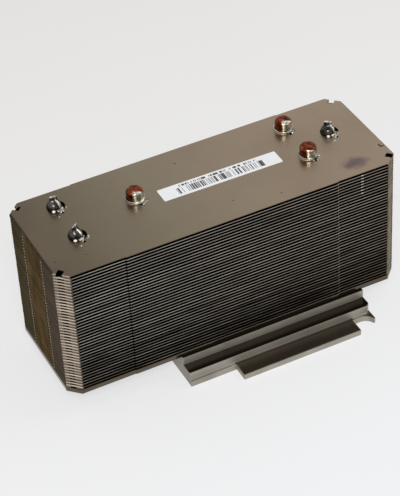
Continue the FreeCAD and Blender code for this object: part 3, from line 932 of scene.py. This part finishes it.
# %% [markdown]
# Some solder has dropped on to the sheet in front of every pipe end, and a bead of solder sits at the rim of
# each nipple's hole, painted near white as a painted highlight. Both are small squashed balls on points, from
# one tree with two sets of sizes.

# %% The node tree of the drops
def drop_tree():
    tree, add, given = geometry_tree("solder_drops", {
        "Places": "Geometry", "Size": "Float", "Flattest": "Vector", "Fullest": "Vector", "Spread": "Vector",
        "Seed": "Int", "Metal": "Material"})
    ball = add("MeshIcoSphere", {"Radius": given["Size"], "Subdivisions": 3})
    spin = add("FunctionNodeRandomValue", {
        "Max": (0.0, 0.0, math.tau), "Seed": given["Seed"]}, data_type="FLOAT_VECTOR")
    scale = add("FunctionNodeRandomValue", {
        "Min": given["Flattest"], "Max": given["Fullest"], "Seed": given["Seed"]}, data_type="FLOAT_VECTOR")
    drops = add("InstanceOnPoints", {
        "Points": strewn(add, given, given["Places"], "Spread"), "Instance": ball, "Rotation": spin,
        "Scale": scale})
    end_tree(add, given, drops)
    return tree


# %% Drops and beads
SPOT = Vector((-1.5, -7.2, 0)) * MM  # one more drop by each nipple, farther out
# where the bead with its painted highlight sits by each nipple
BEAD = Vector((-2.5, -3.75, 0.55)) * MM
places, beads = [], []
picker = random.Random(5)
for nipple, cap in PIPES.values():
    for leg, reach in ((nipple, 4.5), (cap, 5.0)):
        for _ in range(5):
            angle = RELIEF_ANGLE + math.radians(picker.uniform(-6, 50))
            away = picker.uniform(reach - 0.5, reach + 0.6) * MM
            places.append(leg + around(angle, away))
    places.append(nipple + SPOT)
    beads.append(nipple + BEAD)
DROPS = drop_tree()
for name, spots, size, flattest, fullest, metal in (
        ("solder_drops", places, 0.7 * MM, (0.5, 0.35, 0.22), (1.3, 0.8, 0.45), SOLDER),
        ("solder_beads", beads, 0.85 * MM, (0.9, 0.9, 0.8), (1.1, 1.0, 0.95), SOLDER_PAINTED_HIGHLIGHT)):
    mesh = bpy.data.meshes.new(name)
    mesh.from_pydata(spots, [], [])
    drops = new_object(name, mesh)
    drops.data = grow(drops, DROPS, {
        "Size": size, "Flattest": flattest, "Fullest": fullest, "Spread": (0.1 * MM, 0.1 * MM, 0.0), "Seed": 4,
        "Metal": metal})
    finish_piece(drops, metal, "pipe", smooth_angle=60)

# %% [markdown]
# ## The label
#
# Paper glued by hand is never quite flat. The label is a fine grid with rounded corners that follows the CAD
# label's place, with a faint ripple on its upper face, closed below so that it has its real thickness.

# %% Label
def label_shell():
    length, width, thickness, corner = 56.4 * MM, 8.45 * MM, 0.12 * MM, 0.5 * MM
    columns, rows = 94, 14
    spin = Matrix.Rotation(LABEL_TURN, 3, "Z")
    upper, lower = [], []
    for column in range(columns + 1):
        for row in range(rows + 1):
            x, y = length * (column / columns - 0.5), width * (row / rows - 0.5)
            over_x, over_y = abs(x) - length / 2 + corner, abs(y) - width / 2 + corner
            if over_x > 0 and over_y > 0:
                pull = min(1.0, corner / math.hypot(over_x, over_y))
                x = math.copysign(length / 2 - corner + over_x * pull, x)
                y = math.copysign(width / 2 - corner + over_y * pull, y)
            ripple = 0.5 + 0.5 * noise.noise(Vector((x / (9 * MM), y / (5 * MM), 1.5)))
            spot = spin @ Vector((x, y, 0)) + Vector((*LABEL_CENTRE, STACK_TOP))
            upper.append(spot + Vector((0, 0, thickness * (0.6 + 0.4 * ripple))))
            lower.append(spot + Vector((0, 0, 0.005 * MM)))
    count, stride, faces = len(upper), rows + 1, []
    for column in range(columns):
        for row in range(rows):
            a = column * stride + row
            quad = (a, a + stride, a + stride + 1, a + 1)
            faces += [quad, tuple(i + count for i in quad[::-1])]
    rim = [*range(rows), *range(rows, columns * stride, stride)]
    rim += [*range(columns * stride + rows, columns * stride, -1), *range(columns * stride, 0, -stride)]
    faces += [(a, b, b + count, a + count) for a, b in zip(rim, rim[1:] + rim[:1])]
    return upper + lower, faces


finish_piece(shell_object("paper_label", [label_shell()]), PAPER, "label", ["label"])

# %% [markdown]
# ## The table, the light and the camera
#
# A plain white table runs out of sight. It keeps the shadow, and where the camera or a reflection looks at it
# or past it, the background is pale, cool in front and a little warmer and darker far behind. One large soft
# lamp stands in front, to the left and above, and a weaker one fills from the right, at a level at which a
# colour renders about as it is written.

# %% Table and world
def looked_at(add):
    """1 for rays from the camera, from a reflection or through something clear."""
    path = add("LightPath").outputs
    seen = path["Is Camera Ray"]
    for other in ("Is Glossy Ray", "Is Transmission Ray"):
        seen = add("Math", [seen, path[other]], operation="MAXIMUM")
    return seen


def white_table():
    material = bpy.data.materials.new("matt_white_table")
    add = shader_adder(material)
    place = add("TexCoord").outputs["Object"]
    grain = add("TexNoise", {"Vector": place, "Scale": 1 / (60 * MM), "Detail": 3.0})
    paint = add("Mix", {0: grain, 6: "#f4f4f3", 7: "#eeeeed"}, data_type="RGBA")
    matt = add("BsdfPrincipled", {"Base Color": paint, "Roughness": 0.8})
    depth = add("SeparateXYZ", [place]).outputs["Y"]
    depth = add("MapRange", {"Value": depth, "From Min": -0.1, "From Max": 0.45})
    pale = add("Mix", {0: depth, 6: "#f6f7f9", 7: "#e6e2dd"}, data_type="RGBA")
    glow = add("Emission", {"Color": pale})
    seen = add("Math", [looked_at(add), 0.7], operation="MULTIPLY")
    both = add("MixShader", [seen, matt, glow])
    add("OutputMaterial", {"Surface": both})
    return material


mesh = bpy.data.meshes.new("table")
mesh.from_pydata([(-2, -2, 0), (2, -2, 0), (2, 2, 0), (-2, 2, 0)], [], [(0, 1, 2, 3)])
mesh.materials.append(white_table())
new_object("table", mesh)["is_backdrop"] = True

world = bpy.data.worlds.new("studio")
add = shader_adder(world)
strength = add("MapRange", {"Value": looked_at(add), "To Min": 0.45})
sky = add("Background", {"Color": "#ffffff", "Strength": strength})
add("OutputWorld", {"Surface": sky})
bpy.context.scene.world = world


# %% Lamps
def soft_lamp(name, place, size, power, aim=Vector((0, 0, 0.03))):
    light = bpy.data.lights.new(name, "AREA")
    light.shape = "DISK"
    light.size = size
    light.energy = power
    lamp = new_object(name, light)
    lamp.location = place
    lamp.rotation_euler = (aim - Vector(place)).to_track_quat("-Z", "Y").to_euler()


soft_lamp("key_lamp", (-0.4, -0.85, 0.95), 0.4, 8.0)
soft_lamp("fill_lamp", (0.9, -0.2, 0.8), 0.8, 2.0)

# %% [markdown]
# The camera is given as a photographer would say it: what it points at, from how far, from which side and how
# high, and how much it was tilted. A long lens keeps the far end of the stack from shrinking much.

# %% Camera
AIM = Vector((-21.9 * MM, -3.2 * MM, 45.0 * MM))
DISTANCE = 857 * MM
AROUND, HEIGHT, TILT = (math.radians(a) for a in (24.62, 39.22, -3.60))

camera = new_object("camera", bpy.data.cameras.new("camera"))
camera.data.sensor_fit = "HORIZONTAL"
camera.data.sensor_width = 36.0
camera.data.lens = 177.94
camera.data.clip_start = 0.01
camera.matrix_world = (
    Matrix.Translation(AIM)
    @ Matrix.Rotation(-AROUND, 4, "Z")
    @ Matrix.Rotation(math.pi / 2 - HEIGHT, 4, "X")
    @ Matrix.Rotation(TILT, 4, "Z")
    @ Matrix.Translation((0, 0, DISTANCE))
)
bpy.context.scene.camera = camera
bpy.context.scene.view_settings.view_transform = "Standard"

# %% [markdown]
# ## Sizes of both models
#
# Both boxes, of the CAD model and of the dressed model, are printed side by side. The dressed model
# must be no larger than the CAD model.

# %% Sizes
VISUAL_BOX = [list(corner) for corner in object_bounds()]
print("visual box in mm:", [[round(v / MM, 2) for v in corner] for corner in VISUAL_BOX])
